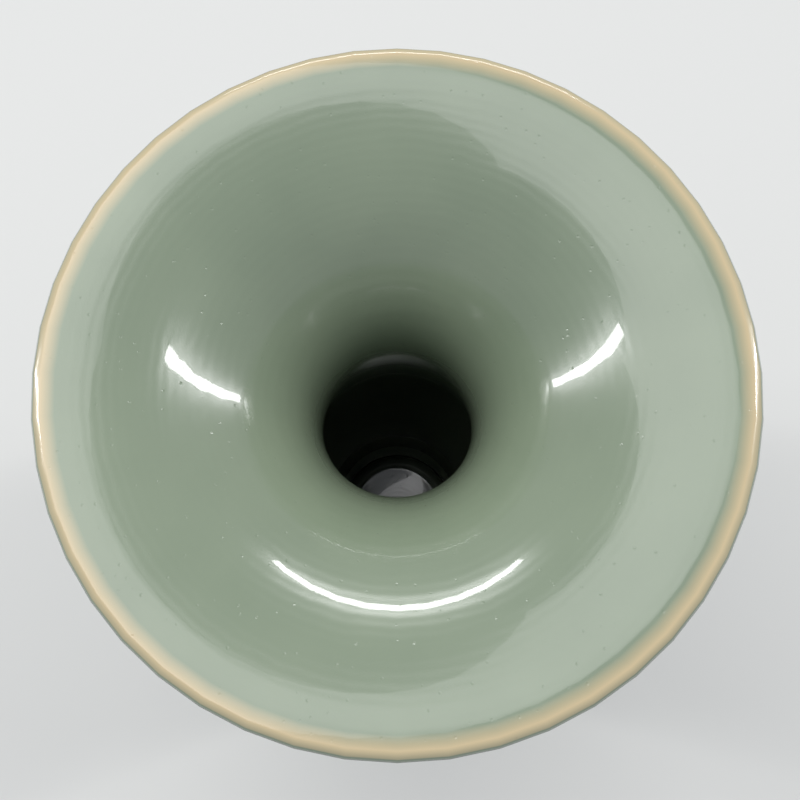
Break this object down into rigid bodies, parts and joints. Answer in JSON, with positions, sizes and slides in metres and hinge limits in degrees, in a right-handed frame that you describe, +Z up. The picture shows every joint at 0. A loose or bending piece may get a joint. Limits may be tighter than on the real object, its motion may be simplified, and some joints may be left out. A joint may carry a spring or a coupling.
{
  "type": "phoenix-tail vase",
  "caption": "Celadon phoenix-tail vase with a wide trumpet mouth, ribbed neck, ovoid body carved with upright petals, and spreading foot.",
  "frame": {"origin": "centre of the foot ring's resting face", "axes": "+Z up along the vase's axis, towards the mouth; +X to the right as the picture shows the mouth"},
  "size_m": [0.12, 0.12, 0.23],
  "materials": {
    "glaze": "gloss",
    "clay": "matte"
  },
  "bodies": {
    "root": {"neck_and_mouth": "glaze", "upper_body": "glaze", "lower_body": "glaze", "foot": "clay", "bottom_saucer": "glaze"}
  },
  "joints": []
}
